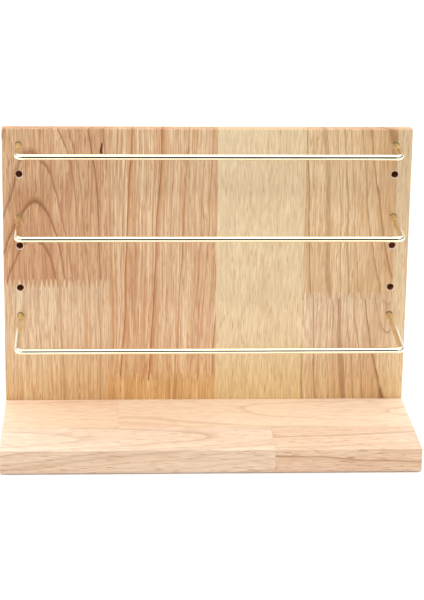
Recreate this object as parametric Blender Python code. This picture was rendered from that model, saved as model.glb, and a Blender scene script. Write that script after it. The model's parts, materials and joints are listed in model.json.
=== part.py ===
"""An eyeglass display rack: an upright wooden panel on a wooden base, with three brass bars plugged
into rows of holes. Metres, +Z up, +X to the right and -Y to the front. The origin is on the surface
that the rack stands on, in the middle of its outline."""

import math

import bmesh
import bpy
from mathutils import Matrix, Vector

# Boards
WIDTH = 0.340
BASE_DEPTH = 0.120
BASE_THICKNESS = 0.020
PANEL_THICKNESS = 0.010
PANEL_RISE = 0.236
EDGE_ROUND = 0.0013
JOINT_GAP = 0.0002

# Holes for the bars: three pairs of rows, each hole drilled straight back into the panel
HOLE_SPACING = 0.312
HOLE_RADIUS = 0.003
HOLE_DEPTH = 0.008
HOLE_CHAMFER = 0.0004
LOWEST_HOLE = 0.075
PAIR_PITCH = 0.0612
PAIR_GAP = 0.0246
PAIRS = 3

# Bars: name, pair counted from the bottom, upper hole of that pair or not, reach out of the panel
BARS = (
    ("upper_bar", 2, True, 0.035),
    ("middle_bar", 1, True, 0.058),
    ("lower_bar", 0, False, 0.082),
)
ROD_RADIUS = 0.0024
ROD_CHAMFER = 0.0003
BEND_RADIUS = 0.005
PLUG_DEPTH = 0.0075
DROOP = math.radians(3)
SLEEVE_BORE_RADIUS = 0.00245
SLEEVE_RADIUS = 0.0027
SLEEVE_LENGTH = 0.022
SLEEVE_CHAMFER = 0.0001

# Screws through the panel into the back edge of the base
SCREW_PLACES = (-0.150, -0.050, 0.050, 0.150)
SCREW_LENGTH = 0.035
SCREW_HEAD_RADIUS = 0.0035
SCREW_HEAD_RIM = 0.0002
SCREW_SHANK_RADIUS = 0.0013
SCREW_CREST_RADIUS = 0.00175
SCREW_PITCH = 0.0022
SCREW_PLAIN = 0.012
SCREW_TIP = 0.004
SCREW_CLEARANCE = 0.0002
RECESS_REACH = 0.0019
RECESS_HALF_WIDTH = 0.0005
RECESS_DEPTH = 0.0016
RECESS_TAPER = 0.45

# Dowels that line the panel up with the base
DOWEL_PLACES = (("panel_dowel_left", -0.100), ("panel_dowel_right", 0.100))
DOWEL_RADIUS = 0.004
DOWEL_LENGTH = 0.028
DOWEL_IN_PANEL = 0.0065
DOWEL_CHAMFER = 0.0008
DOWEL_FLUTES = 16
DOWEL_FLUTE_DEPTH = 0.0003
DOWEL_CLEARANCE = 0.00015
DOWEL_END_ROOM = 0.0005

# Feet: name, side, front or back
FEET = (
    ("foot_front_left", -1, -1),
    ("foot_front_right", 1, -1),
    ("foot_back_left", -1, 1),
    ("foot_back_right", 1, 1),
)
FOOT_RADIUS = 0.006
FOOT_HEIGHT = 0.001
FOOT_EDGE = 0.0003
FOOT_INSET = 0.014

# Worked out from the above
FRONT = -(BASE_DEPTH + PANEL_THICKNESS) / 2
BACK = -FRONT
PANEL_FACE = BACK - PANEL_THICKNESS
BASE_BOTTOM = FOOT_HEIGHT
BASE_TOP = BASE_BOTTOM + BASE_THICKNESS
BASE_MIDDLE = (BASE_BOTTOM + BASE_TOP) / 2
PANEL_TOP = BASE_TOP + PANEL_RISE
BACKWARD = Matrix.Rotation(math.radians(-90), 4, "X")
FORWARD = Matrix.Rotation(math.radians(90), 4, "X")


def clear_scene():
    for obj in list(bpy.data.objects):
        bpy.data.objects.remove(obj, do_unlink=True)


def make_material(name, colour, roughness, metallic):
    material = bpy.data.materials.new(name)
    material.use_nodes = True
    shader = material.node_tree.nodes["Principled BSDF"]
    shader.inputs["Base Color"].default_value = (*colour, 1)
    shader.inputs["Roughness"].default_value = roughness
    shader.inputs["Metallic"].default_value = metallic
    return material


def add_object(name, bm, material):
    """Turns the bmesh into an object of the scene, smooth where its faces meet at a low angle."""
    bmesh.ops.recalc_face_normals(bm, faces=bm.faces)
    mesh = bpy.data.meshes.new(name)
    bm.to_mesh(mesh)
    bm.free()
    mesh.shade_smooth()
    mesh.set_sharp_from_angle(angle=math.radians(35))
    obj = bpy.data.objects.new(name, mesh)
    bpy.context.scene.collection.objects.link(obj)
    if material:
        mesh.materials.append(material)
    return obj


def add_cutter(name, bm):
    cutter = add_object(name, bm, None)
    cutter.hide_render = True
    cutter.display_type = "WIRE"
    return cutter


def cut(obj, cutter):
    boolean = obj.modifiers.new(cutter.name, "BOOLEAN")
    boolean.operation = "DIFFERENCE"
    boolean.solver = "EXACT"
    boolean.object = cutter


def bridge_rings(bm, rings, closed):
    """Faces between neighbouring rings of points, with a cap on each end unless the rings close."""
    count = len(rings[0])
    pairs = list(zip(rings, rings[1:]))
    if closed:
        pairs.append((rings[-1], rings[0]))
    for low, high in pairs:
        for i in range(count):
            j = (i + 1) % count
            bm.faces.new((low[i], low[j], high[j], high[i]))
    if not closed:
        bm.faces.new(list(reversed(rings[0])))
        bm.faces.new(rings[-1])


def add_turned(bm, profile, sides, place, closed=False):
    """A solid of revolution about its own Z axis, from (radius, height) points, moved to place."""
    rings = []
    for radius, height in profile:
        ring = []
        for i in range(sides):
            angle = math.tau * i / sides
            point = Vector((radius * math.cos(angle), radius * math.sin(angle), height))
            ring.append(bm.verts.new(place @ point))
        rings.append(ring)
    bridge_rings(bm, rings, closed)


def add_board(name, low, high, material):
    """A board with softly rounded edges, between two opposite corners."""
    low, high = Vector(low), Vector(high)
    size = high - low
    bm = bmesh.new()
    bmesh.ops.create_cube(bm, size=1, matrix=Matrix.Diagonal((*size, 1)))
    board = add_object(name, bm, material)
    board.location = (low + high) / 2
    rounding = board.modifiers.new("rounded edges", "BEVEL")
    rounding.width = EDGE_ROUND
    rounding.segments = 3
    return board


def bar_hole_heights():
    """Height of each row of holes, as a list of (lower, upper) pairs from the bottom."""
    lowest = BASE_TOP + LOWEST_HOLE
    starts = [lowest + PAIR_PITCH * pair for pair in range(PAIRS)]
    return [(start, start + PAIR_GAP) for start in starts]


def blind_hole_profile(radius, depth, chamfer):
    """Points of a flat-bottomed hole that enters at height 0, with a small chamfer at its mouth."""
    outside = -0.001
    return (
        (radius + chamfer, outside),
        (radius + chamfer, 0),
        (radius, chamfer),
        (radius, depth),
    )


def countersunk_profile(radius, depth):
    """Points of a screw's hole that enters at height 0, with its countersink."""
    mouth = SCREW_HEAD_RADIUS + SCREW_CLEARANCE
    outside = -0.001
    return (
        (mouth, outside),
        (mouth, SCREW_HEAD_RIM),
        (radius, SCREW_HEAD_RIM + mouth - radius),
        (radius, depth),
    )


def make_panel(material):
    panel = add_board(
        "back_panel",
        (-WIDTH / 2, PANEL_FACE, BASE_BOTTOM),
        (WIDTH / 2, BACK, PANEL_TOP),
        material,
    )
    bm = bmesh.new()
    bar_hole = blind_hole_profile(HOLE_RADIUS, HOLE_DEPTH, HOLE_CHAMFER)
    for pair in bar_hole_heights():
        for height in pair:
            for x in (-HOLE_SPACING / 2, HOLE_SPACING / 2):
                place = Matrix.Translation((x, PANEL_FACE, height)) @ BACKWARD
                add_turned(bm, bar_hole, 28, place)
    dowel_radius = DOWEL_RADIUS + DOWEL_CLEARANCE
    dowel_hole = blind_hole_profile(dowel_radius, DOWEL_IN_PANEL + DOWEL_END_ROOM, 0)
    for _, x in DOWEL_PLACES:
        place = Matrix.Translation((x, PANEL_FACE, BASE_MIDDLE)) @ BACKWARD
        add_turned(bm, dowel_hole, 24, place)
    screw_radius = SCREW_CREST_RADIUS + SCREW_CLEARANCE
    screw_hole = countersunk_profile(screw_radius, PANEL_THICKNESS + 0.001)
    for x in SCREW_PLACES:
        place = Matrix.Translation((x, BACK, BASE_MIDDLE)) @ FORWARD
        add_turned(bm, screw_hole, 16, place)
    cut(panel, add_cutter("panel_hole_cutter", bm))


def make_base(material):
    edge = PANEL_FACE - JOINT_GAP
    base = add_board(
        "base_board",
        (-WIDTH / 2, FRONT, BASE_BOTTOM),
        (WIDTH / 2, edge, BASE_TOP),
        material,
    )
    bm = bmesh.new()
    dowel_depth = DOWEL_LENGTH - DOWEL_IN_PANEL - JOINT_GAP + DOWEL_END_ROOM
    dowel_hole = blind_hole_profile(DOWEL_RADIUS + DOWEL_CLEARANCE, dowel_depth, 0)
    for _, x in DOWEL_PLACES:
        place = Matrix.Translation((x, edge, BASE_MIDDLE)) @ FORWARD
        add_turned(bm, dowel_hole, 24, place)
    screw_depth = SCREW_LENGTH - PANEL_THICKNESS - JOINT_GAP + 0.001
    screw_hole = blind_hole_profile(SCREW_CREST_RADIUS + SCREW_CLEARANCE, screw_depth, 0)
    for x in SCREW_PLACES:
        place = Matrix.Translation((x, edge, BASE_MIDDLE)) @ FORWARD
        add_turned(bm, screw_hole, 16, place)
    cut(base, add_cutter("base_hole_cutter", bm))


def bar_path(reach):
    """The centre line of a U-shaped bar, from the left plug end round to the right one. It lies in
    the XY plane, with Y = 0 halfway down the plugs and -Y out of the panel."""
    plug_end = PLUG_DEPTH / 2
    front = -(reach + PLUG_DEPTH / 2)
    bend_steps = 6
    centre = Vector((HOLE_SPACING / 2 - BEND_RADIUS, front + BEND_RADIUS, 0))
    right = []
    for step in range(bend_steps + 1):
        angle = math.radians(-90 + 90 * step / bend_steps)
        spoke = Vector((math.cos(angle), math.sin(angle), 0))
        right.append(centre + BEND_RADIUS * spoke)
    right.append(Vector((HOLE_SPACING / 2, plug_end, 0)))
    left = [Vector((-point.x, point.y, 0)) for point in reversed(right)]
    return left + right


def add_rod(bm, path, radius, chamfer, sides):
    """A round rod along a path in the XY plane, with a small chamfer on both ends."""
    first = (path[1] - path[0]).normalized()
    last = (path[-1] - path[-2]).normalized()
    stations = [(path[0], first, radius - chamfer), (path[0] + first * chamfer, first, radius)]
    for before, point, after in zip(path, path[1:], path[2:]):
        along = (point - before).normalized() + (after - point).normalized()
        stations.append((point, along.normalized(), radius))
    stations.append((path[-1] - last * chamfer, last, radius))
    stations.append((path[-1], last, radius - chamfer))
    rings = []
    up = Vector((0, 0, 1))
    for point, along, ring_radius in stations:
        side = along.cross(up)
        ring = []
        for i in range(sides):
            angle = math.tau * i / sides
            spoke = side * math.cos(angle) + up * math.sin(angle)
            ring.append(bm.verts.new(point + spoke * ring_radius))
        rings.append(ring)
    bridge_rings(bm, rings, closed=False)


def make_bar(name, height, reach, material):
    """A bar and the sleeves on its two ends, under an empty that holds the bar's slope."""
    holder = bpy.data.objects.new(name + "_holder", None)
    bpy.context.scene.collection.objects.link(holder)
    holder.location = (0, PANEL_FACE + PLUG_DEPTH / 2, height)
    holder.rotation_euler = (DROOP, 0, 0)

    bm = bmesh.new()
    add_rod(bm, bar_path(reach), ROD_RADIUS, ROD_CHAMFER, 20)
    bar = add_object(name, bm, material)
    bar.parent = holder

    outer, inner, edge = SLEEVE_RADIUS, SLEEVE_BORE_RADIUS, SLEEVE_CHAMFER
    wall = (
        (inner, 0),
        (outer - edge, 0),
        (outer, edge),
        (outer, SLEEVE_LENGTH - edge),
        (outer - edge, SLEEVE_LENGTH),
        (inner, SLEEVE_LENGTH),
    )
    for side, x in (("left", -HOLE_SPACING / 2), ("right", HOLE_SPACING / 2)):
        bm = bmesh.new()
        add_turned(bm, wall, 20, FORWARD, closed=True)
        sleeve = add_object(f"{name}_sleeve_{side}", bm, material)
        sleeve.location = (x, PLUG_DEPTH / 2, 0)
        sleeve.parent = holder


def make_screw(name, x, recess, material):
    """A countersunk wood screw, head at the back, with a helical thread and a pointed tip."""
    sides = 12
    cone_end = SCREW_HEAD_RIM + SCREW_HEAD_RADIUS - SCREW_SHANK_RADIUS
    thread_end = SCREW_LENGTH - SCREW_TIP
    steps = 3 * round((thread_end - SCREW_PLAIN) / SCREW_PITCH)
    stations = [
        (0, SCREW_HEAD_RADIUS, 0),
        (SCREW_HEAD_RIM, SCREW_HEAD_RADIUS, 0),
        (cone_end, SCREW_SHANK_RADIUS, 0),
    ]
    crest = SCREW_CREST_RADIUS - SCREW_SHANK_RADIUS
    for step in range(steps + 1):
        depth = SCREW_PLAIN + (thread_end - SCREW_PLAIN) * step / steps
        fade = min(1, step / 3)
        stations.append((depth, SCREW_SHANK_RADIUS, crest * fade))
    stations.append((SCREW_LENGTH - SCREW_TIP / 2, SCREW_SHANK_RADIUS / 2, crest / 2))
    stations.append((SCREW_LENGTH, SCREW_SHANK_RADIUS / 8, 0))
    bm = bmesh.new()
    rings = []
    for depth, radius, height in stations:
        ring = []
        for i in range(sides):
            phase = (depth / SCREW_PITCH - i / sides) % 1
            ridge = max(0, 1 - 3 * abs(phase - 0.5))
            reach = radius + height * ridge
            angle = math.tau * i / sides
            point = Vector((reach * math.cos(angle), reach * math.sin(angle), depth))
            ring.append(bm.verts.new(point))
        rings.append(ring)
    bridge_rings(bm, rings, closed=False)
    screw = add_object(name, bm, material)
    place = Matrix.Translation((x, BACK, BASE_MIDDLE)) @ FORWARD
    screw.matrix_world = place
    cutter = bpy.data.objects.new(name + "_recess_cutter", recess)
    bpy.context.scene.collection.objects.link(cutter)
    cutter.hide_render = True
    cutter.display_type = "WIRE"
    cutter.matrix_world = place
    cut(screw, cutter)


def cross_recess():
    """The tapered cross of a screwdriver's tip, which starts just outside the head."""
    reach, half = RECESS_REACH, RECESS_HALF_WIDTH
    corners = []
    for quarter in range(4):
        turn = Matrix.Rotation(math.tau * quarter / 4, 3, "Z")
        for x, y in ((reach, -half), (reach, half), (half, half)):
            corners.append(turn @ Vector((x, y, 0)))
    bm = bmesh.new()
    rings = []
    for depth, scale in ((-0.0005, 1), (0, 1), (RECESS_DEPTH, RECESS_TAPER)):
        rings.append([bm.verts.new((c.x * scale, c.y * scale, depth)) for c in corners])
    bridge_rings(bm, rings, closed=False)
    bmesh.ops.recalc_face_normals(bm, faces=bm.faces)
    mesh = bpy.data.meshes.new("cross_recess")
    bm.to_mesh(mesh)
    bm.free()
    return mesh


def make_dowel(name, x, material):
    """A fluted dowel with chamfered ends, part in the panel and the rest in the base."""
    spots = 2 * DOWEL_FLUTES
    stations = (
        (0, DOWEL_RADIUS - DOWEL_CHAMFER, 0),
        (DOWEL_CHAMFER, DOWEL_RADIUS, DOWEL_FLUTE_DEPTH),
        (DOWEL_LENGTH - DOWEL_CHAMFER, DOWEL_RADIUS, DOWEL_FLUTE_DEPTH),
        (DOWEL_LENGTH, DOWEL_RADIUS - DOWEL_CHAMFER, 0),
    )
    bm = bmesh.new()
    rings = []
    for depth, radius, flute in stations:
        ring = []
        for i in range(spots):
            reach = radius - flute * (i % 2)
            angle = math.tau * i / spots
            point = Vector((reach * math.cos(angle), reach * math.sin(angle), depth))
            ring.append(bm.verts.new(point))
        rings.append(ring)
    bridge_rings(bm, rings, closed=False)
    dowel = add_object(name, bm, material)
    place = Matrix.Translation((x, PANEL_FACE + DOWEL_IN_PANEL, BASE_MIDDLE))
    dowel.matrix_world = place @ FORWARD


def make_foot(name, side, end, material):
    """A round pad stuck under a corner of the base."""
    top = FOOT_HEIGHT - JOINT_GAP
    profile = (
        (FOOT_RADIUS - FOOT_EDGE, 0),
        (FOOT_RADIUS, FOOT_EDGE),
        (FOOT_RADIUS, top),
    )
    bm = bmesh.new()
    add_turned(bm, profile, 24, Matrix.Identity(4))
    foot = add_object(name, bm, material)
    middle = (FRONT + PANEL_FACE) / 2
    reach = BASE_DEPTH / 2 - FOOT_INSET
    foot.location = (side * (WIDTH / 2 - FOOT_INSET), middle + end * reach, 0)


clear_scene()
wood = make_material("rubberwood", (0.66, 0.40, 0.19), 0.5, 0)
brass = make_material("polished brass", (0.80, 0.62, 0.34), 0.18, 1)
steel = make_material("zinc-plated steel", (0.62, 0.62, 0.60), 0.35, 1)
beech = make_material("beech dowel", (0.60, 0.40, 0.22), 0.6, 0)
rubber = make_material("rubber", (0.05, 0.05, 0.05), 0.7, 0)
make_panel(wood)
make_base(wood)
rows = bar_hole_heights()
for bar_name, bar_pair, in_upper_hole, bar_reach in BARS:
    make_bar(bar_name, rows[bar_pair][in_upper_hole], bar_reach, brass)
screw_recess = cross_recess()
for number, screw_x in enumerate(SCREW_PLACES, start=1):
    make_screw(f"panel_screw_{number}", screw_x, screw_recess, steel)
for dowel_name, dowel_x in DOWEL_PLACES:
    make_dowel(dowel_name, dowel_x, beech)
for foot_name, foot_side, foot_end in FEET:
    make_foot(foot_name, foot_side, foot_end, rubber)
bpy.context.view_layer.update()
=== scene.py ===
"""The looks of an eyeglass display rack: a stand of pale rubberwood with three polished bars that plug
into its upright panel. Everything is in metres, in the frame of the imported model: +Z is up, and the
front of the rack looks along -Y."""

import json
import math

import bmesh
import bpy
from mathutils import Matrix, Vector


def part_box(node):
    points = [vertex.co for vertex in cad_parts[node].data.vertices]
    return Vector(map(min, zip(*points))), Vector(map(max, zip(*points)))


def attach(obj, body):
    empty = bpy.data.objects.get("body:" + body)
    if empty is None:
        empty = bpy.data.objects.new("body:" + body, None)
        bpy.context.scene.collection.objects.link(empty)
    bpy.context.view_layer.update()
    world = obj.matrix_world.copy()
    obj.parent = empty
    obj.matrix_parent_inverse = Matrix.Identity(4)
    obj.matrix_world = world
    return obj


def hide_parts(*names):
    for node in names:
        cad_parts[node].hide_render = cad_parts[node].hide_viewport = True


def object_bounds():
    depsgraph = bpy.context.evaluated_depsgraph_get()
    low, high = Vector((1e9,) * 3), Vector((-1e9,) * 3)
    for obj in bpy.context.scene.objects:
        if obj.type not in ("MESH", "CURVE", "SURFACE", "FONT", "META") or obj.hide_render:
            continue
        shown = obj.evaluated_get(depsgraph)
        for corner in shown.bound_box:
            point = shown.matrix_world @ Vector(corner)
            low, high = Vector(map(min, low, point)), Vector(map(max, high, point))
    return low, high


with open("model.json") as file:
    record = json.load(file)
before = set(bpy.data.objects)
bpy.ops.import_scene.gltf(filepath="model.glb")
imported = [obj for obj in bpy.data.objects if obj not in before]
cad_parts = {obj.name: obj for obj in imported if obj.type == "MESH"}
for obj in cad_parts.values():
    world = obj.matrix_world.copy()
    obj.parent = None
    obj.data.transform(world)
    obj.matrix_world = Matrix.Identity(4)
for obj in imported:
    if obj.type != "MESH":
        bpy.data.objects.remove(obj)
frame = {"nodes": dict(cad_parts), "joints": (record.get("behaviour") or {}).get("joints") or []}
cad_low, cad_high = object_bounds()


# --- The upright panel ----------------------------------------------------------------------------
# A board of rubberwood staves, glued edge to edge. Three of the staves are made of two lengths, which
# are finger-jointed end to end. The board's edges are sanded round, its face has a satin lacquer, and
# two columns of blind holes take the bars. Screws from behind hold it to the base.

EDGE_ROUND = 0.0013
EDGE_STEPS = 6
GLUE_LINE = 0.00005
FINGER_PITCH = 0.0038
FINGER_LENGTH = 0.0072
FINGER_TIP = 0.16
HOLE_RADIUS = 0.003
HOLE_DEPTH = 0.008
HOLE_CHAMFER = 0.0004
HOLE_SPACING = 0.312
HOLE_RISES = (0.0750, 0.0996, 0.1362, 0.1608, 0.1974, 0.2220)
ROUND_SIDES = 64
SHARP_ANGLE = math.radians(32)


def add_piece(name, mesh):
    """An object for a mesh that is already in place."""
    piece = bpy.data.objects.new(name, mesh)
    bpy.context.scene.collection.objects.link(piece)
    return piece


def mesh_from(name, bm):
    """The mesh of a bmesh, with its faces turned outwards."""
    bmesh.ops.recalc_face_normals(bm, faces=bm.faces)
    mesh = bpy.data.meshes.new(name)
    bm.to_mesh(mesh)
    bm.free()
    return mesh


def mesh_with_modifiers(name, piece):
    """A new mesh with the piece's modifiers applied. The piece itself is removed."""
    graph = bpy.context.evaluated_depsgraph_get()
    mesh = bpy.data.meshes.new_from_object(piece.evaluated_get(graph))
    mesh.name = name
    bpy.data.objects.remove(piece)
    return mesh


def rounded_board(name, low, high):
    """The mesh of a board with softly rounded edges, between two opposite corners."""
    bm = bmesh.new()
    place = Matrix.Translation((low + high) / 2) @ Matrix.Diagonal((*(high - low), 1))
    bmesh.ops.create_cube(bm, size=1, matrix=place)
    bmesh.ops.bevel(
        bm, geom=bm.edges[:], offset=EDGE_ROUND, segments=EDGE_STEPS, profile=0.5, affect="EDGES"
    )
    return mesh_from(name, bm)


def add_turned(bm, profile, place):
    """A solid of revolution about its own Z axis, from (radius, height) points, moved to place."""
    rings = []
    for radius, height in profile:
        ring = []
        for i in range(ROUND_SIDES):
            angle = math.tau * i / ROUND_SIDES
            point = Vector((radius * math.cos(angle), radius * math.sin(angle), height))
            ring.append(bm.verts.new(place @ point))
        rings.append(ring)
    for near, far in zip(rings, rings[1:]):
        for i in range(ROUND_SIDES):
            j = (i + 1) % ROUND_SIDES
            bm.faces.new((near[i], near[j], far[j], far[i]))
    bm.faces.new(list(reversed(rings[0])))
    bm.faces.new(rings[-1])


def combine(mesh, other, operation):
    """The mesh after a Boolean operation with another mesh."""
    piece = add_piece(mesh.name, mesh)
    tool = add_piece(other.name, other)
    boolean = piece.modifiers.new("boolean", "BOOLEAN")
    boolean.operation = operation
    boolean.solver = "EXACT"
    boolean.object = tool
    result = mesh_with_modifiers(mesh.name, piece)
    bpy.data.objects.remove(tool)
    return result


def finger_line(left, right, middle):
    """Points of a finger joint from left to right: tapered fingers with blunt tips."""
    count = round((right - left) / FINGER_PITCH)
    pitch = (right - left) / count
    low, high = middle - FINGER_LENGTH / 2, middle + FINGER_LENGTH / 2
    points = []
    for i in range(count):
        start = left + i * pitch
        points.append((start, low))
        points.append((start + FINGER_TIP * pitch, low))
        points.append((start + 0.5 * pitch, high))
        points.append((start + (0.5 + FINGER_TIP) * pitch, high))
    points.append((right, low))
    return points


def stave_line(left, right, height, shift):
    """One end of a stave: a straight cut beyond the board, or a finger joint in the board."""
    if not cad_low.z < height < cad_high.z:
        return [(left, height), (right, height)]
    return [(x, z + shift) for x, z in finger_line(left, right, height)]


def add_prism(bm, outline, near, far, place):
    """A straight solid with that outline in its own XZ plane, from near to far along its Y."""
    front = [bm.verts.new(place @ Vector((x, near, z))) for x, z in outline]
    back = [bm.verts.new(place @ Vector((x, far, z))) for x, z in outline]
    bm.faces.new(front)
    bm.faces.new(list(reversed(back)))
    for i in range(len(outline)):
        j = (i + 1) % len(outline)
        bm.faces.new((front[j], front[i], back[i], back[j]))


def soften(piece):
    """Smooth shading that leaves the flat faces flat and the sharp edges sharp."""
    piece.data.polygons.foreach_set("use_smooth", [True] * len(piece.data.polygons))
    piece.data.set_sharp_from_angle(angle=SHARP_ANGLE)
    weighting = piece.modifiers.new("even shading", "WEIGHTED_NORMAL")
    weighting.keep_sharp = True


def feed(tree, socket, value):
    """Links a socket to another one, or sets it to a plain value."""
    if isinstance(value, bpy.types.NodeSocket):
        tree.links.new(value, socket)
    else:
        socket.default_value = value


def maths(tree, operation, *values):
    """The output of a Math node on numbers or sockets."""
    node = tree.nodes.new("ShaderNodeMath")
    node.operation = operation
    for socket, value in zip(node.inputs, values):
        feed(tree, socket, value)
    return node.outputs[0]


def remap(tree, value, start, end, low=0.0, high=1.0):
    """value taken smoothly from start..end to low..high."""
    node = tree.nodes.new("ShaderNodeMapRange")
    node.interpolation_type = "SMOOTHSTEP"
    for name, number in (
        ("Value", value),
        ("From Min", start),
        ("From Max", end),
        ("To Min", low),
        ("To Max", high),
    ):
        feed(tree, node.inputs[name], number)
    return node.outputs["Result"]


def stretched(tree, place, scale):
    """place with each axis multiplied by its own scale, so a texture gets that many cells a metre."""
    node = tree.nodes.new("ShaderNodeVectorMath")
    node.operation = "MULTIPLY"
    feed(tree, node.inputs[0], place)
    node.inputs[1].default_value = scale
    return node.outputs[0]


def noise(tree, place, scale, detail=2.0):
    """A noise node over place. Its Fac and Color outputs run from 0 to 1 about a half."""
    node = tree.nodes.new("ShaderNodeTexNoise")
    feed(tree, node.inputs["Vector"], stretched(tree, place, scale))
    node.inputs["Scale"].default_value = 1.0
    node.inputs["Detail"].default_value = detail
    return node


def mottle(tree, place, scale, detail, faint=0.3, full=0.7):
    """Noise over place as a mask, which starts to show where the noise is faint and is full at full."""
    return remap(tree, noise(tree, place, scale, detail).outputs["Fac"], faint, full)


def blend(tree, factor, first, second, mode="MIX"):
    """Two colours mixed by a factor."""
    node = tree.nodes.new("ShaderNodeMix")
    node.data_type = "RGBA"
    node.blend_type = mode
    feed(tree, node.inputs["Factor"], factor)
    feed(tree, node.inputs[6], first)
    feed(tree, node.inputs[7], second)
    return node.outputs[2]


def curve_of(tree, value, stops):
    """value looked up on a black-and-white ramp of (position, brightness) stops."""
    node = tree.nodes.new("ShaderNodeValToRGB")
    ramp = node.color_ramp
    while len(ramp.elements) < len(stops):
        ramp.elements.new(0.5)
    for element, (position, brightness) in zip(ramp.elements, stops):
        element.position = position
        element.color = (brightness, brightness, brightness, 1)
    feed(tree, node.inputs[0], value)
    return node.outputs["Color"]


# The wood's figure, in cells a metre: across the grain twice, and then along it. Each wander has how
# far it goes sideways, and each figure has its noise's detail, where it starts to show and is full
SLOW_WANDER = ((16, 16, 6), 0.016)
FINE_WANDER = ((420, 420, 30), 0.0009)
STRIPES = ((240, 240, 3.0), 4, 0.36, 0.66)
STREAKS = ((1000, 1000, 9), 3, 0.48, 0.62)
FIBRES = ((1300, 1300, 70), 2, 0.36, 0.64)
PATCHES = ((22, 22, 7), 1, 0.35, 0.65)
STRIPE_DRIFT = 0.7
FIBRE_SHADE = 0.3
PORE_CELLS = (1050, 1050, 70)
PORE_CHOICE = (0.4, 1.0)
PORE_REACH = 0.36
PORE_SOFTNESS = 0.08

# How finely and how much ring widths vary, and how dark the faintest ring is
RING_SPREAD_CELLS = 70
RING_SPREAD = 3.0
FAINTEST_RING = 0.2

# Where a ring's dark line and its fading band are, as (place in the ring, darkness)
RING_LINE = ((0.0, 0.7), (0.03, 1.0), (0.08, 0.5), (0.16, 0.0), (0.97, 0.0), (1.0, 0.7))
RING_BAND = ((0.0, 0.8), (0.04, 1.0), (0.3, 0.55), (0.7, 0.15), (0.94, 0.0), (1.0, 0.8))

# How far outside its radius the heartwood starts to darken, and is fully dark
HEART_FADE = (0.008, -0.012)

# Tones that darken the band colour or the whole end grain
DEEP_TONE = (0.66, 0.52, 0.42, 1)
DARKEST_TONE = (0.42, 0.32, 0.26, 1)
END_GRAIN_TONE = (0.80, 0.66, 0.52, 1)

# The bark crack: half its width, length and depth, each as (where it ends, where it is full), how
# much it widens downwards, and the bend that makes it an S
CRACK_WIDTH = (0.0012, 0.0006)
CRACK_LENGTH = (0.0052, 0.0038)
CRACK_DEPTH = (0.004, 0.002)
CRACK_TAPER = 0.08
CRACK_TURNS = 700.0
CRACK_BEND = 0.00022
BARK = (0.10, 0.015, 0.004, 1)

# Roughness and relief of the lacquered surface, and what fibres and pores add to or take from them
SMOOTH, FIBRE_ROUGHNESS, PORE_ROUGHNESS = 0.42, 0.10, 0.25
FIBRE_RELIEF, PORE_RELIEF = 0.15, 0.7


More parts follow.
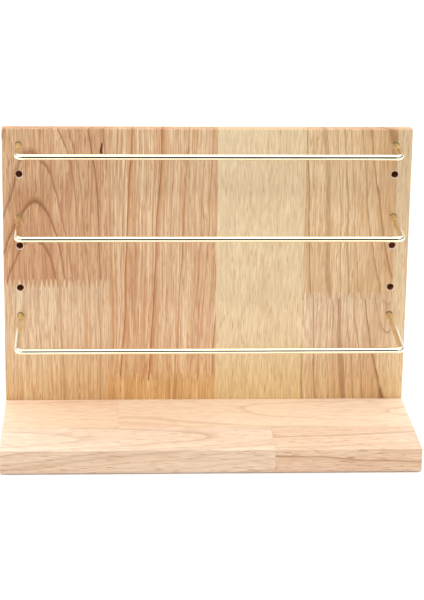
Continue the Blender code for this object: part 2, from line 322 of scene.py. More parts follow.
def make_grain_group():
    """Rubberwood as a solid: growth rings about a leaning pith, fibres, and long open pores. The
    grain runs along Z of Place. The pith passes through Pith at Z = 0 and moves by Lean per metre.
    Heart Radius and Heart Contrast darken the heartwood. Crack Place is where a bark crack sits."""
    tree = bpy.data.node_groups.new("rubberwood_grain", "ShaderNodeTree")
    for name, kind in (
        ("Place", "NodeSocketVector"),
        ("Pith", "NodeSocketVector"),
        ("Lean", "NodeSocketVector"),
        ("Ring Width", "NodeSocketFloat"),
        ("Ring Contrast", "NodeSocketFloat"),
        ("Line Contrast", "NodeSocketFloat"),
        ("Stripe Contrast", "NodeSocketFloat"),
        ("Streak Contrast", "NodeSocketFloat"),
        ("Pore Contrast", "NodeSocketFloat"),
        ("Patch Contrast", "NodeSocketFloat"),
        ("Seed", "NodeSocketVector"),
        ("End Grain", "NodeSocketFloat"),
        ("Heart Radius", "NodeSocketFloat"),
        ("Heart Contrast", "NodeSocketFloat"),
        ("Crack Place", "NodeSocketVector"),
        ("Pale", "NodeSocketColor"),
        ("Band", "NodeSocketColor"),
    ):
        tree.interface.new_socket(name, in_out="INPUT", socket_type=kind)
    for name, kind in (
        ("Color", "NodeSocketColor"),
        ("Roughness", "NodeSocketFloat"),
        ("Height", "NodeSocketFloat"),
    ):
        tree.interface.new_socket(name, in_out="OUTPUT", socket_type=kind)
    given = tree.nodes.new("NodeGroupInput").outputs
    made = tree.nodes.new("NodeGroupOutput").inputs

    def vector(operation, *values):
        node = tree.nodes.new("ShaderNodeVectorMath")
        node.operation = operation
        for socket, value in zip(node.inputs, values):
            feed(tree, socket, value)
        return node.outputs["Value" if operation == "LENGTH" else "Vector"]

    def waver(place, scale, size):
        centred = vector("SUBTRACT", noise(tree, place, scale).outputs["Color"], (0.5, 0.5, 0.5))
        return vector("MULTIPLY", centred, (size, size, 0))

    # The grain wanders: slowly over the length of a board, and finely over a few millimetres
    seeded = vector("ADD", given["Place"], given["Seed"])
    wander = vector("ADD", waver(seeded, *SLOW_WANDER), waver(seeded, *FINE_WANDER))

    split = tree.nodes.new("ShaderNodeSeparateXYZ")
    feed(tree, split.inputs[0], given["Place"])
    scaled_lean = tree.nodes.new("ShaderNodeVectorMath")
    scaled_lean.operation = "SCALE"
    feed(tree, scaled_lean.inputs[0], given["Lean"])
    feed(tree, scaled_lean.inputs["Scale"], split.outputs["Z"])
    pith = vector("ADD", given["Pith"], scaled_lean.outputs[0])
    spoke = vector("SUBTRACT", vector("ADD", given["Place"], wander), pith)
    radius = vector("LENGTH", vector("MULTIPLY", spoke, (1, 1, 0)))

    # Rings: each starts with a dark line and a band that fades, and no two are equally wide or dark
    spread = tree.nodes.new("ShaderNodeTexNoise")
    spread.noise_dimensions = "1D"
    spread.inputs["Scale"].default_value = RING_SPREAD_CELLS
    spread.inputs["Detail"].default_value = 1
    feed(tree, spread.inputs["W"], radius)
    count = maths(tree, "DIVIDE", radius, given["Ring Width"])
    count = maths(tree, "ADD", count, maths(tree, "MULTIPLY", spread.outputs["Fac"], RING_SPREAD))
    phase = maths(tree, "FRACT", count)
    line = curve_of(tree, phase, RING_LINE)
    band = curve_of(tree, phase, RING_BAND)
    strength = tree.nodes.new("ShaderNodeTexWhiteNoise")
    strength.noise_dimensions = "1D"
    feed(tree, strength.inputs["W"], maths(tree, "FLOOR", count))
    strength = remap(tree, strength.outputs["Value"], 0.0, 1.0, FAINTEST_RING)
    ring = maths(tree, "MULTIPLY", maths(tree, "MULTIPLY", band, strength), given["Ring Contrast"])
    line = maths(tree, "MULTIPLY", maths(tree, "MULTIPLY", line, strength), given["Line Contrast"])

    # Heartwood, inside its own radius, is darker than the sapwood round it
    outside = maths(tree, "SUBTRACT", radius, given["Heart Radius"])
    heart = remap(tree, outside, *HEART_FADE)
    heart = maths(tree, "MULTIPLY", heart, given["Heart Contrast"])

    # Stripes follow the rings, fibres are hair-fine, and patches shift the tone of the board
    drift = vector("MULTIPLY", wander, (STRIPE_DRIFT, STRIPE_DRIFT, 0))
    along = vector("ADD", seeded, drift)
    stripes = maths(tree, "MULTIPLY", mottle(tree, along, *STRIPES), given["Stripe Contrast"])
    streaks = mottle(tree, along, *STREAKS)
    fibres = mottle(tree, along, *FIBRES)
    patches = mottle(tree, seeded, *PATCHES)

    # Pores: long open vessels, which show as dark dashes along the grain and dots across it
    pores = tree.nodes.new("ShaderNodeTexVoronoi")
    pores.inputs["Scale"].default_value = 1.0
    feed(tree, pores.inputs["Vector"], stretched(tree, along, PORE_CELLS))
    chosen = tree.nodes.new("ShaderNodeSeparateColor")
    feed(tree, chosen.inputs[0], pores.outputs["Color"])
    reach = remap(tree, chosen.outputs[0], *PORE_CHOICE, 0.0, PORE_REACH)
    open_pore = maths(tree, "SUBTRACT", reach, pores.outputs["Distance"])
    open_pore = remap(tree, open_pore, 0.0, PORE_SOFTNESS)

    dark = maths(tree, "MAXIMUM", ring, stripes)
    dark = maths(tree, "ADD", dark, maths(tree, "MULTIPLY", patches, given["Patch Contrast"]))
    dark = maths(tree, "MINIMUM", maths(tree, "ADD", dark, heart), 1.0)
    colour = blend(tree, dark, given["Pale"], given["Band"])
    deep = blend(tree, 1.0, given["Band"], DEEP_TONE, "MULTIPLY")
    darkest = blend(tree, 1.0, given["Band"], DARKEST_TONE, "MULTIPLY")
    colour = blend(tree, line, colour, darkest)
    streak_shade = maths(tree, "MULTIPLY", streaks, given["Streak Contrast"])
    colour = blend(tree, streak_shade, colour, given["Band"])
    colour = blend(tree, maths(tree, "MULTIPLY", fibres, FIBRE_SHADE), colour, deep)
    pore_shade = maths(tree, "MULTIPLY", open_pore, given["Pore Contrast"])
    colour = blend(tree, pore_shade, colour, deep)

    # A short crack with dark bark in it, which bends like an S, widens downwards and stays shallow
    apart = vector("SUBTRACT", vector("ADD", given["Place"], wander), given["Crack Place"])
    away = tree.nodes.new("ShaderNodeSeparateXYZ")
    feed(tree, away.inputs[0], apart)
    turn = maths(tree, "SINE", maths(tree, "MULTIPLY", away.outputs["Z"], CRACK_TURNS))
    bend = maths(tree, "MULTIPLY", turn, CRACK_BEND)
    aside = maths(tree, "ABSOLUTE", maths(tree, "SUBTRACT", away.outputs["X"], bend))
    aside = maths(tree, "MULTIPLY_ADD", away.outputs["Z"], CRACK_TAPER, aside)
    crack = remap(tree, aside, *CRACK_WIDTH)
    for axis, extent in (("Z", CRACK_LENGTH), ("Y", CRACK_DEPTH)):
        reach = maths(tree, "ABSOLUTE", away.outputs[axis])
        crack = maths(tree, "MULTIPLY", crack, remap(tree, reach, *extent))
    colour = blend(tree, crack, colour, BARK)
    toned = blend(tree, 1.0, colour, END_GRAIN_TONE, "MULTIPLY")
    colour = blend(tree, given["End Grain"], colour, toned)
    feed(tree, made["Color"], colour)

    rough = maths(tree, "MULTIPLY_ADD", fibres, FIBRE_ROUGHNESS, SMOOTH)
    rough = maths(tree, "MULTIPLY_ADD", open_pore, PORE_ROUGHNESS, rough)
    feed(tree, made["Roughness"], rough)
    relief = maths(tree, "MULTIPLY", maths(tree, "ADD", fibres, streaks), FIBRE_RELIEF)
    relief = maths(tree, "SUBTRACT", relief, maths(tree, "MULTIPLY", open_pore, PORE_RELIEF))
    feed(tree, made["Height"], relief)
    return tree


GRAIN = make_grain_group()


def new_finish(name):
    """A material with its node tree, its Principled shader, and its object coordinates."""
    finish = bpy.data.materials.new(name)
    finish.use_nodes = True
    tree = finish.node_tree
    shader = tree.nodes["Principled BSDF"]
    place = tree.nodes.new("ShaderNodeTexCoord").outputs["Object"]
    return finish, tree, shader, place


def add_bump(tree, shader, height, distance):
    """Fine relief on a finish, distance deep where height goes from 0 to 1."""
    bump = tree.nodes.new("ShaderNodeBump")
    bump.inputs["Distance"].default_value = distance
    feed(tree, bump.inputs["Height"], height)
    feed(tree, shader.inputs["Normal"], bump.outputs["Normal"])


# How squarely a face points along an axis before it counts as facing it, and when it fully does
FACING = (0.5, 0.9)
# The height where the painted shade and warm bounce light at the panel's foot start, and where they are
# full
FOOT_SHADE_RISE = (0.085, 0.02)
FOOT_SHADE_TONE = (1.0, 0.93, 0.74, 1)
# Painted shade on the front and back faces of a flat board
FRONT_EDGE_SHADE = (0.89, 0.82, 0.75, 1)
LACQUER = 0.12
LACQUER_ROUGHNESS = 0.3
PORE_DEPTH = 0.00006


def rubberwood(name, wood, along_x=False):
    """Lacquered rubberwood. Its grain runs up, or along X for a board that lies flat. The upright
    wood has painted shade and warm bounce light towards its foot, so it is darker and more amber there,
    and the flat wood's front and back edges have painted shade."""
    finish, tree, shader, place = new_finish(name)
    facing = tree.nodes.new("ShaderNodeSeparateXYZ")
    feed(tree, facing.inputs[0], tree.nodes.new("ShaderNodeNewGeometry").outputs["True Normal"])
    end = maths(tree, "ABSOLUTE", facing.outputs["X" if along_x else "Z"])
    if along_x:
        split = tree.nodes.new("ShaderNodeSeparateXYZ")
        feed(tree, split.inputs[0], place)
        join = tree.nodes.new("ShaderNodeCombineXYZ")
        for socket, axis in zip(join.inputs, ("Y", "Z", "X")):
            feed(tree, socket, split.outputs[axis])
        place = join.outputs[0]
    grain = tree.nodes.new("ShaderNodeGroup")
    grain.node_tree = GRAIN
    feed(tree, grain.inputs["Place"], place)
    feed(tree, grain.inputs["End Grain"], remap(tree, end, *FACING))
    for socket, value in wood.items():
        feed(tree, grain.inputs[socket], value)
    colour = grain.outputs["Color"]
    if along_x:
        # Painted shade: the front and back faces of a flat board are darker
        edge = remap(tree, maths(tree, "ABSOLUTE", facing.outputs["Y"]), *FACING)
        colour = blend(tree, edge, colour, FRONT_EDGE_SHADE, "MULTIPLY")
    else:
        height = tree.nodes.new("ShaderNodeSeparateXYZ")
        feed(tree, height.inputs[0], place)
        # Painted shade and warm bounce light: darker and more amber towards the panel's foot, where the
        # base meets it
        foot_shade = remap(tree, height.outputs["Z"], *FOOT_SHADE_RISE)
        colour = blend(tree, foot_shade, colour, FOOT_SHADE_TONE, "MULTIPLY")
    feed(tree, shader.inputs["Base Color"], colour)
    feed(tree, shader.inputs["Roughness"], grain.outputs["Roughness"])
    shader.inputs["Coat Weight"].default_value = LACQUER
    shader.inputs["Coat Roughness"].default_value = LACQUER_ROUGHNESS
    add_bump(tree, shader, grain.outputs["Height"], PORE_DEPTH)
    return finish


# How far one seed moves the figure along each axis
SEED_STEPS = (0.37, 0.53, 0.71)
NO_HEART = (0.0, 0.0)
NO_CRACK = (0.0, 0.0, -9.0)


def look(pale, band, pith, lean, ring_width, ring, line, stripe, streak, pore, patch, seed,
         heart=NO_HEART, crack=NO_CRACK):
    """One piece of wood: its two tones, where its pith ran and how it leans, how strongly each
    figure shows from 0 to 1, its heartwood's (radius, contrast), and the place of a bark crack."""
    return {
        "Pale": (*pale, 1),
        "Band": (*band, 1),
        "Pith": (*pith, 0),
        "Lean": (*lean, 0),
        "Ring Width": ring_width,
        "Ring Contrast": ring,
        "Line Contrast": line,
        "Stripe Contrast": stripe,
        "Streak Contrast": streak,
        "Pore Contrast": pore,
        "Patch Contrast": patch,
        "Heart Radius": heart[0],
        "Heart Contrast": heart[1],
        "Crack Place": crack,
        "Seed": tuple(seed * step for step in SEED_STEPS),
    }


BELOW, ABOVE = cad_low.z - 1, cad_high.z + 1
LEFT, RIGHT = cad_low.x - 1, cad_high.x + 1

# The panel's four glue joints from left to right, and how high the finger joints sit in three staves
GLUE_1, GLUE_2, GLUE_3, GLUE_4 = -0.083, 0.0084, 0.0818, 0.1576
FINGERS_1, FINGERS_2, FINGERS_4 = 0.1244, 0.0410, 0.1130

# Each length of wood in the panel: its left and right edges, its lower and upper ends, and its look
PANEL_PIECES = {
    "panel_stave_1_lower": (LEFT, GLUE_1, BELOW, FINGERS_1, look(
        pale=(0.91, 0.73, 0.50), band=(0.62, 0.32, 0.13),
        pith=(-0.32, 0.09), lean=(0.0, 0.02), ring_width=0.0065,
        ring=0.30, line=0.6, stripe=0.30, streak=0.55, pore=0.6, patch=0.15,
        seed=1)),
    "panel_stave_1_upper": (LEFT, GLUE_1, FINGERS_1, ABOVE, look(
        pale=(0.94, 0.69, 0.43), band=(0.51, 0.20, 0.065),
        pith=(-0.147, 0.0605), lean=(0.0, 0.16), ring_width=0.0058,
        ring=0.45, line=1.0, stripe=0.35, streak=0.60, pore=0.7, patch=0.2,
        seed=2, heart=(0.046, 0.2), crack=(-0.0894, 0.055, 0.2405))),
    "panel_stave_2_lower": (GLUE_1, GLUE_2, BELOW, FINGERS_2, look(
        pale=(0.94, 0.70, 0.40), band=(0.62, 0.30, 0.11),
        pith=(-0.30, 0.075), lean=(0.0, 0.10), ring_width=0.0120,
        ring=0.35, line=0.6, stripe=0.50, streak=0.45, pore=0.5, patch=0.3,
        seed=3)),
    "panel_stave_2_upper": (GLUE_1, GLUE_2, FINGERS_2, ABOVE, look(
        pale=(0.97, 0.79, 0.53), band=(0.60, 0.26, 0.09),
        pith=(-0.46, 0.06), lean=(0.04, 0.0), ring_width=0.0068,
        ring=1.0, line=0.9, stripe=0.50, streak=0.60, pore=0.5, patch=0.15,
        seed=4)),
    "panel_stave_3": (GLUE_2, GLUE_3, BELOW, ABOVE, look(
        pale=(0.93, 0.77, 0.51), band=(0.69, 0.45, 0.21),
        pith=(0.045, 0.17), lean=(0.0, 0.05), ring_width=0.0120,
        ring=0.12, line=0.2, stripe=0.12, streak=0.22, pore=0.5, patch=0.1,
        seed=5)),
    "panel_stave_4_lower": (GLUE_3, GLUE_4, BELOW, FINGERS_4, look(
        pale=(0.97, 0.84, 0.61), band=(0.60, 0.32, 0.14),
        pith=(0.160, 0.085), lean=(-0.04, -0.10), ring_width=0.0060,
        ring=0.40, line=0.9, stripe=0.35, streak=0.50, pore=0.5, patch=0.25,
        seed=6, heart=(0.040, 0.12))),
    "panel_stave_4_upper": (GLUE_3, GLUE_4, FINGERS_4, ABOVE, look(
        pale=(0.95, 0.75, 0.47), band=(0.60, 0.31, 0.12),
        pith=(0.172, 0.10), lean=(-0.03, -0.10), ring_width=0.0075,
        ring=0.45, line=0.9, stripe=0.30, streak=0.50, pore=0.5, patch=0.25,
        seed=7, heart=(0.052, 0.16))),
    "panel_stave_5": (GLUE_4, RIGHT, BELOW, ABOVE, look(
        pale=(0.90, 0.72, 0.47), band=(0.66, 0.42, 0.21),
        pith=(0.30, 0.06), lean=(0.0, 0.0), ring_width=0.0070,
        ring=0.20, line=0.3, stripe=0.25, streak=0.30, pore=0.6, patch=0.1,
        seed=8)),
}


def shaded_bore_finish():
    """The wall of a drilled hole: end grain coloured dark brown as painted shade inside the hole, with
    rings from its lip.
    """
    finish, tree, shader, place = new_finish("shaded_bore")
    turns = mottle(tree, place, (300, 2600, 300), 2)
    # Painted shade: the bore wall is coloured dark brown
    feed(tree, shader.inputs["Base Color"], blend(
        tree, turns, (0.46, 0.19, 0.09, 1), (0.62, 0.30, 0.16, 1)))
    shader.inputs["Roughness"].default_value = 0.8
    add_bump(tree, shader, turns, 0.0001)
    return finish


def highlight_rim_finish():
    """The chamfer round a hole: wood coloured near white as a painted highlight where the chamfer
    catches the light.
    """
    finish, tree, shader, place = new_finish("highlight_rim")
    fuzz = mottle(tree, place, (2200, 2200, 500), 2)
    # Painted highlight: the chamfer is coloured near white
    feed(tree, shader.inputs["Base Color"], blend(
        tree, fuzz, (0.96, 0.92, 0.84, 1), (0.90, 0.80, 0.68, 1)))
    shader.inputs["Roughness"].default_value = 0.75
    add_bump(tree, shader, fuzz, 0.00004)
    return finish


SHADED_BORE, HIGHLIGHT_RIM = shaded_bore_finish(), highlight_rim_finish()


# Room for the Boolean's rounding: a face at less depth is the board's own, and holes measure larger
ON_THE_FACE = 1e-6
ROUNDING = 1.02


def finish_holes(mesh, face, centres):
    """Gives the faces of the bar holes in a mesh their own finishes, as its second and third."""
    mesh.materials.append(SHADED_BORE)
    mesh.materials.append(HIGHLIGHT_RIM)
    mouth = HOLE_RADIUS + ROUNDING * HOLE_CHAMFER
    for polygon in mesh.polygons:
        depth = polygon.center.y - face
        if not ON_THE_FACE < depth < ROUNDING * HOLE_DEPTH:
            continue
        corners = [mesh.vertices[v].co for v in polygon.vertices]
        for x, z in centres:
            if max(math.hypot(corner.x - x, corner.z - z) for corner in corners) < mouth:
                polygon.material_index = 2 if depth < HOLE_CHAMFER else 1


panel_low, panel_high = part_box("back_panel")
base_low, base_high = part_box("base_board")
BACKWARD = Matrix.Rotation(math.radians(-90), 4, "X")
FORWARD = Matrix.Rotation(math.radians(90), 4, "X")
OUTSIDE = -0.001

bar_holes = [
    (x, base_high.z + rise) for x in (-HOLE_SPACING / 2, HOLE_SPACING / 2) for rise in HOLE_RISES
]
drill = bmesh.new()
for x, z in bar_holes:
    add_turned(drill, (
        (HOLE_RADIUS + HOLE_CHAMFER, OUTSIDE),
        (HOLE_RADIUS + HOLE_CHAMFER, 0),
        (HOLE_RADIUS, HOLE_CHAMFER),
        (HOLE_RADIUS, HOLE_DEPTH),
    ), Matrix.Translation((x, panel_low.y, z)) @ BACKWARD)

screws = [name for name in frame["nodes"] if name.startswith("panel_screw")]
SCREW_ROOM = 0.0002
SCREW_CREST_RADIUS = 0.00175
SCREW_HOLE_RADIUS = SCREW_CREST_RADIUS + SCREW_ROOM
for name in screws:
    low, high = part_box(name)
    middle = (low + high) / 2
    head = (high.x - low.x) / 2 + SCREW_ROOM
    add_turned(drill, (
        (head, OUTSIDE),
        (head, SCREW_ROOM),
        (SCREW_HOLE_RADIUS, SCREW_ROOM + head - SCREW_HOLE_RADIUS),
        (SCREW_HOLE_RADIUS, panel_high.y - panel_low.y - OUTSIDE),
    ), Matrix.Translation((middle.x, panel_high.y, middle.z)) @ FORWARD)

dowels = [name for name in frame["nodes"] if name.startswith("panel_dowel")]
DOWEL_ROOM = 0.0004
for name in dowels:
    low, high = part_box(name)
    middle = (low + high) / 2
    radius = (high.x - low.x) / 2 + DOWEL_ROOM / 2
    add_turned(drill, (
        (radius, OUTSIDE),
        (radius, high.y + DOWEL_ROOM - panel_low.y),
    ), Matrix.Translation((middle.x, panel_low.y, middle.z)) @ BACKWARD)

board = rounded_board("panel_board", panel_low, panel_high)
board = combine(board, mesh_from("panel_drill", drill), "DIFFERENCE")

gap = GLUE_LINE / 2
for name, (left, right, bottom, top, wood) in PANEL_PIECES.items():
    left, right = left + gap, right - gap
    outline = stave_line(left, right, bottom, gap) + stave_line(left, right, top, -gap)[::-1]
    bm = bmesh.new()
    add_prism(bm, outline, panel_low.y - 1, panel_high.y + 1, Matrix.Identity(4))
    mesh = combine(board.copy(), mesh_from(name, bm), "INTERSECT")
    mesh.name = name
    mesh.materials.clear()
    mesh.materials.append(rubberwood("rubberwood_" + name, wood))
    finish_holes(mesh, panel_low.y, bar_holes)
    stave = add_piece(name, mesh)
    soften(stave)
    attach(stave, "stand")
    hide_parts("back_panel")


# --- The base board -------------------------------------------------------------------------------
# A thicker rubberwood board that the panel's foot is screwed to. It is glued up from two rows of
# lengths that run from side to side, butted end to end, and it is paler and pinker than the panel.

# Where the two rows meet, and where the lengths of the rear row and of the front row meet
ROW_JOINT = -0.014
REAR_JOINT = -0.074
FRONT_JOINT = 0.051
NEAR, FAR = cad_low.y - 1, cad_high.y + 1

# Each length: its left and right ends, its front and rear edges, and its look. Its grain runs along
# X, so its pith is given across the board and up, and its lean is per metre from left to right
BASE_PIECES = {
    "base_length_rear_left": (LEFT, REAR_JOINT, ROW_JOINT, FAR, look(
        pale=(0.92, 0.73, 0.54), band=(0.76, 0.45, 0.26),
        pith=(0.02, -0.05), lean=(0.05, 0.03), ring_width=0.0090,
        ring=0.25, line=0.30, stripe=0.15, streak=0.08, pore=0.3, patch=0.1,
        seed=11)),
    "base_length_rear_right": (REAR_JOINT, RIGHT, ROW_JOINT, FAR, look(
        pale=(0.93, 0.76, 0.58), band=(0.76, 0.48, 0.30),
        pith=(0.03, -0.04), lean=(-0.03, 0.05), ring_width=0.0110,
        ring=0.30, line=0.30, stripe=0.15, streak=0.08, pore=0.3, patch=0.1,
        seed=12)),
    "base_length_front_left": (LEFT, FRONT_JOINT, NEAR, ROW_JOINT, look(
        pale=(0.89, 0.75, 0.60), band=(0.68, 0.43, 0.28),
        pith=(-0.035, 0.06), lean=(0.03, 0.10), ring_width=0.0080,
        ring=0.30, line=0.35, stripe=0.20, streak=0.15, pore=0.7, patch=0.1,
        seed=13)),
    "base_length_front_right": (FRONT_JOINT, RIGHT, NEAR, ROW_JOINT, look(
        pale=(0.88, 0.70, 0.53), band=(0.60, 0.34, 0.20),
        pith=(-0.09, 0.03), lean=(0.10, 0.02), ring_width=0.0060,
        ring=0.40, line=0.50, stripe=0.25, streak=0.20, pore=0.8, patch=0.1,
        seed=14)),
}

drill = bmesh.new()
for name in screws + dowels:
    low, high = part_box(name)
    middle = (low + high) / 2
    radius = SCREW_HOLE_RADIUS if name in screws else (high.x - low.x) / 2 + DOWEL_ROOM / 2
    add_turned(drill, (
        (radius, OUTSIDE),
        (radius, base_high.y - low.y + DOWEL_ROOM),
    ), Matrix.Translation((middle.x, base_high.y, middle.z)) @ FORWARD)

board = rounded_board("base_whole_board", base_low, base_high)
board = combine(board, mesh_from("base_drill", drill), "DIFFERENCE")

for name, (left, right, front, rear, wood) in BASE_PIECES.items():
    bm = bmesh.new()
    corners = Vector((left + gap, front + gap, BELOW)), Vector((right - gap, rear - gap, ABOVE))
    size = corners[1] - corners[0]
    place = Matrix.Translation((corners[0] + corners[1]) / 2) @ Matrix.Diagonal((*size, 1))
    bmesh.ops.create_cube(bm, size=1, matrix=place)
    mesh = combine(board.copy(), mesh_from(name, bm), "INTERSECT")
    mesh.name = name
    mesh.materials.clear()
    mesh.materials.append(rubberwood("rubberwood_" + name, wood, along_x=True))
    length = add_piece(name, mesh)
    soften(length)
    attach(length, "stand")
    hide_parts("base_board")


# --- The bars -------------------------------------------------------------------------------------
# Three U-shaped bars, bent from solid rod and plated a pale polished gold. Their ends plug into the
# panel's holes, and the weight of the front rail tips each of them down by the holes' slack.

ROD_RADIUS = 0.0024
ROD_SIDES = 40
ROD_CHAMFER = 0.0003
BEND_RADIUS = 0.005
BEND_STEPS = 20


def sweep(bm, stations, normal, sides):
    """A round solid along stations of (point, direction, radius) that all lie in one plane."""
    rings = []
    for point, along, radius in stations:
        side = along.cross(normal)
        ring = []
        for i in range(sides):
            angle = math.tau * i / sides
            spoke = side * math.cos(angle) + normal * math.sin(angle)
            ring.append(bm.verts.new(point + spoke * radius))
        rings.append(ring)
    for near, far in zip(rings, rings[1:]):
        for i in range(sides):
            j = (i + 1) % sides
            bm.faces.new((near[i], near[j], far[j], far[i]))
    bm.faces.new(rings[0])
    bm.faces.new(rings[-1])


def bar_stations(low, high, out):
    """Stations along a bar from its left plug end to its right one. out points from the panel."""
    right = Vector((1, 0, 0))
    front = Vector((high.x - ROD_RADIUS, low.y + ROD_RADIUS, low.z + ROD_RADIUS))
    end = high.y - ROD_RADIUS * abs(out.z)
    length = (end - front.y) / abs(out.y)
    plug = front - out * length
    half = [(plug, out, ROD_RADIUS - ROD_CHAMFER), (plug + out * ROD_CHAMFER, out, ROD_RADIUS)]
    centre = front - out * BEND_RADIUS - right * BEND_RADIUS
    for step in range(BEND_STEPS + 1):
        turn = math.radians(90) * step / BEND_STEPS
        spoke = right * math.cos(turn) + out * math.sin(turn)
        along = out * math.cos(turn) - right * math.sin(turn)
        half.append((centre + BEND_RADIUS * spoke, along, ROD_RADIUS))
    mirrored = []
    for point, along, radius in half:
        other = Vector((along.x, -along.y, -along.z))
        mirrored.append((Vector((-point.x, point.y, point.z)), other, radius))
    return half + mirrored[::-1]


def polished_gold(name, tint, stain, roughness, smear):
    """Gold-coloured plating: a mirror with faint wipe marks and the hair lines of drawn rod."""
    finish, tree, shader, place = new_finish(name)
    wipes = mottle(tree, place, (30, 160, 160), 3, faint=0.35)
    hairs = mottle(tree, place, (60, 5200, 5200), 1)
    feed(tree, shader.inputs["Base Color"], blend(tree, wipes, (*tint, 1), (*stain, 1)))
    shader.inputs["Metallic"].default_value = 1.0
    dull = maths(tree, "MULTIPLY_ADD", wipes, smear, roughness)
    dull = maths(tree, "MULTIPLY_ADD", hairs, smear / 2, dull)
    feed(tree, shader.inputs["Roughness"], dull)
    add_bump(tree, shader, hairs, 0.0000015)
    return finish


ROD_FINISH = polished_gold(
    "pale_gold_rod", tint=(0.93, 0.85, 0.66), stain=(0.90, 0.80, 0.56), roughness=0.05, smear=0.05)

pull_axes = {joint["child"]: Vector(joint["axis"]) for joint in frame["joints"]}
for bar in ("upper_bar", "middle_bar", "lower_bar"):
    low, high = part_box(bar)
    out = pull_axes[bar].normalized()
    bm = bmesh.new()
    sweep(bm, bar_stations(low, high, out), Vector((1, 0, 0)).cross(out), ROD_SIDES)
    rod = add_piece(bar + "_rod", mesh_from(bar + "_rod", bm))
    rod.data.materials.append(ROD_FINISH)
    soften(rod)
    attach(rod, bar)
    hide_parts(bar)


# --- The sleeves ----------------------------------------------------------------------------------
# Each plug end wears a thin brass sleeve, which fills the hole and stands a little way out of the
# panel. Its ends are turned round, and its wall is satin where the rod is bright.

SLEEVE_RADIUS = 0.0027
SLEEVE_BORE = 0.00245
SLEEVE_EDGE = 0.00012
SLEEVE_EDGE_STEPS = 4
SLEEVE_FINISH = polished_gold(
    "satin_brass_sleeve", tint=(0.88, 0.75, 0.42), stain=(0.82, 0.66, 0.32), roughness=0.3, smear=0.12)


def sleeve_profile(start, end):
    """(radius, place) points round a sleeve's wall, with both outer rims rounded."""
    points = [(SLEEVE_BORE, start)]
    for rim, first in ((start + SLEEVE_EDGE, 180), (end - SLEEVE_EDGE, 90)):
        for step in range(SLEEVE_EDGE_STEPS + 1):
            angle = math.radians(first - 90 * step / SLEEVE_EDGE_STEPS)
            radius = SLEEVE_RADIUS - SLEEVE_EDGE + SLEEVE_EDGE * math.sin(angle)
            points.append((radius, rim + SLEEVE_EDGE * math.cos(angle)))
    points.append((SLEEVE_BORE, end))
    return points


def wrap(bm, profile, origin, axis, sides):
    """A closed ring of wall about an axis, from (radius, place along the axis) points."""
    side = axis.orthogonal().normalized()
    other = axis.cross(side)
    rings = []
    for radius, place in profile:
        ring = []
        for i in range(sides):
            angle = math.tau * i / sides
            spoke = side * math.cos(angle) + other * math.sin(angle)
            ring.append(bm.verts.new(origin + axis * place + spoke * radius))
        rings.append(ring)
    for near, far in zip(rings, rings[1:] + rings[:1]):
        for i in range(sides):
            j = (i + 1) % sides
            bm.faces.new((near[i], near[j], far[j], far[i]))


for bar in ("upper_bar", "middle_bar", "lower_bar"):
    out = pull_axes[bar].normalized()
    for side in ("left", "right"):
        node = f"{bar}_sleeve_{side}"
        low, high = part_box(node)
        origin = (low + high) / 2
        tilt = SLEEVE_RADIUS * abs(out.z)
        half = ((high.y - low.y) / 2 - tilt) / abs(out.y)
        bm = bmesh.new()
        wrap(bm, sleeve_profile(-half, half), origin, out, ROD_SIDES)
        sleeve = add_piece(node + "_tube", mesh_from(node + "_tube", bm))
        sleeve.data.materials.append(SLEEVE_FINISH)
        soften(sleeve)
        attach(sleeve, bar)
        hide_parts(node)


# --- Screws, dowels and feet ----------------------------------------------------------------------
# Four zinc-plated screws and two beech dowels hold the panel to the back edge of the base. Only the
# screws' heads show, from behind. Four rubber feet keep the base off the counter.


def zinc_finish():
    """Bright zinc plating, slightly bluish, with a fine crystal bloom."""
    finish, tree, shader, place = new_finish("zinc_plating")
    bloom = mottle(tree, place, (1800, 1800, 1800), 3)
    feed(tree, shader.inputs["Base Color"], blend(
        tree, bloom, (0.66, 0.67, 0.69, 1), (0.52, 0.53, 0.55, 1)))
    shader.inputs["Metallic"].default_value = 1.0
    feed(tree, shader.inputs["Roughness"], maths(tree, "MULTIPLY_ADD", bloom, 0.15, 0.25))
    add_bump(tree, shader, bloom, 0.00001)
    return finish


def rubber_finish():
    """Moulded black rubber with a fine matt skin."""
    finish, tree, shader, place = new_finish("moulded_rubber")
    skin = mottle(tree, place, (3000, 3000, 3000), 2)
    feed(tree, shader.inputs["Base Color"], blend(
        tree, skin, (0.030, 0.030, 0.032, 1), (0.018, 0.018, 0.019, 1)))
    feed(tree, shader.inputs["Roughness"], maths(tree, "MULTIPLY_ADD", skin, 0.2, 0.6))
    add_bump(tree, shader, skin, 0.00003)
    return finish


BEECH = look(
    pale=(0.74, 0.50, 0.32), band=(0.60, 0.35, 0.20),
    pith=(0.0, 0.03), lean=(0.0, 0.0), ring_width=0.0015,
    ring=0.3, line=0.3, stripe=0.4, streak=0.2, pore=0.5, patch=0.1,
    seed=21)
fittings = {
    "panel_screw": zinc_finish(),
    "panel_dowel": rubberwood("beech_dowel", BEECH),
    "foot": rubber_finish(),
}
for name, node in frame["nodes"].items():
    for start, finish in fittings.items():
        if name.startswith(start):
            node.data.materials.clear()
            node.data.materials.append(finish)


# --- The studio -----------------------------------------------------------------------------------
# A plain pale floor, a broad soft light overhead, and a bright room that is dark only in front of the
# rack and to its right, so that polished rod shows one thin dark line between two bright ones.

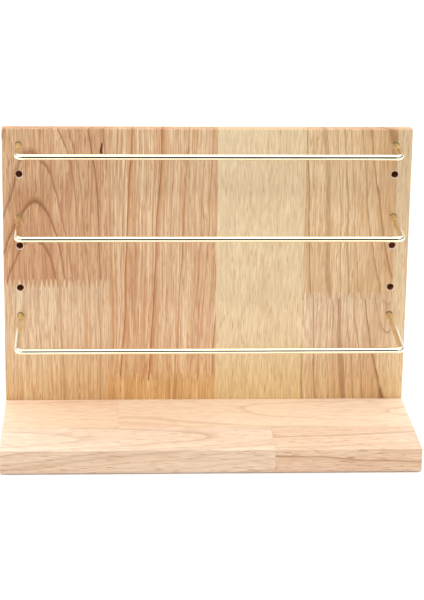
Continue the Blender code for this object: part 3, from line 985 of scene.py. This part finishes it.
FLOOR_REACH = 12.0
FLOOR_FRONT = -0.5
FLOOR_GLOW = 0.12
bm = bmesh.new()
bmesh.ops.create_grid(
    bm, x_segments=1, y_segments=1, size=FLOOR_REACH,
    matrix=Matrix.Translation((0, FLOOR_REACH + FLOOR_FRONT, 0)))
floor = add_piece("studio_floor", mesh_from("studio_floor", bm))
finish, tree, shader, place = new_finish("pale_floor")
clouds = mottle(tree, place, (6, 6, 6), 3)
feed(tree, shader.inputs["Base Color"], blend(
    tree, clouds, (0.90, 0.90, 0.90, 1), (0.89, 0.89, 0.885, 1)))
shader.inputs["Roughness"].default_value = 0.9
shader.inputs["Emission Color"].default_value = (1, 1, 1, 1)
shader.inputs["Emission Strength"].default_value = FLOOR_GLOW
floor.data.materials.append(finish)

OVERHEAD_LIGHT = 2.25
ROOM_LIGHT = 1.31
REAR_LIGHT = 0.80
DARK_LIGHT = 0.06
REAR_TURN = (-0.1, 0.5)
OVERHEAD_EDGE = (0.60, 0.75)
DARK_TOP, DARK_SIDE_TOP, DARK_RIGHT_TOP = 0.66, 0.15, 0.40
DARK_BACK, DARK_RIGHT_BACK = -0.05, 0.50
DARK_SHOULDER = (0.22, 0.45)
RIGHT_TURN = (0.60, 0.80)
DARK_TOP_EDGE = (0.04, -0.04)
DARK_LEFT_EDGE = (-0.95, -0.85)
DARK_BACK_EDGE = (0.0, -0.15)
DARK_FOOT_EDGE = (-0.60, -0.50)
room = bpy.data.worlds.new("bright_room")
bpy.context.scene.world = room
room.use_nodes = True
tree = room.node_tree
direction = tree.nodes.new("ShaderNodeTexCoord").outputs["Generated"]
split = tree.nodes.new("ShaderNodeSeparateXYZ")
feed(tree, split.inputs[0], direction)
across, ahead, up = (split.outputs[axis] for axis in "XYZ")
around = remap(tree, ahead, *REAR_TURN, ROOM_LIGHT, REAR_LIGHT)
overhead = remap(tree, up, *OVERHEAD_EDGE, around, OVERHEAD_LIGHT)

# The dark patch: high in the middle, low at the sides, and wrapped round to the right. Each edge is
# (where the dark ends, where it is full), in parts of a unit direction
aside = maths(tree, "ABSOLUTE", across)
side_top = remap(tree, across, *RIGHT_TURN, DARK_SIDE_TOP, DARK_RIGHT_TOP)
top = remap(tree, aside, *DARK_SHOULDER, DARK_TOP, side_top)
back = remap(tree, across, *RIGHT_TURN, DARK_BACK, DARK_RIGHT_BACK)
dark = remap(tree, maths(tree, "SUBTRACT", up, top), *DARK_TOP_EDGE)
for place, edge in (
    (across, DARK_LEFT_EDGE),
    (maths(tree, "SUBTRACT", ahead, back), DARK_BACK_EDGE),
    (up, DARK_FOOT_EDGE),
):
    dark = maths(tree, "MULTIPLY", dark, remap(tree, place, *edge))

# Seen directly, the room is never darker than its walls, so no dark patch shows behind the rack
seen = tree.nodes.new("ShaderNodeLightPath").outputs["Is Camera Ray"]
strength = maths(tree, "MULTIPLY_ADD", dark, DARK_LIGHT - ROOM_LIGHT, overhead)
strength = maths(tree, "MAXIMUM", strength, maths(tree, "MULTIPLY", seen, ROOM_LIGHT))
feed(tree, tree.nodes["Background"].inputs["Strength"], strength)
tree.nodes["Background"].inputs["Color"].default_value = (1, 1, 1, 1)

CAMERA_PLACE = (-0.0887, -1.6003, 0.6211)
CAMERA_PITCH = math.radians(17.15)
CAMERA_YAW = math.radians(3.24)
CAMERA_ROLL = math.radians(-0.82)
LENS = 123.3
camera = bpy.data.objects.new("camera", bpy.data.cameras.new("camera"))
camera.data.lens = LENS
camera.data.sensor_width = 36.0
camera.location = CAMERA_PLACE
turn = Matrix.Rotation(-CAMERA_YAW, 4, "Z") @ Matrix.Rotation(math.radians(90) - CAMERA_PITCH, 4, "X")
camera.rotation_euler = (turn @ Matrix.Rotation(-CAMERA_ROLL, 4, "Z")).to_euler()
bpy.context.scene.collection.objects.link(camera)
bpy.context.scene.camera = camera
bpy.context.scene.view_settings.view_transform = "Standard"
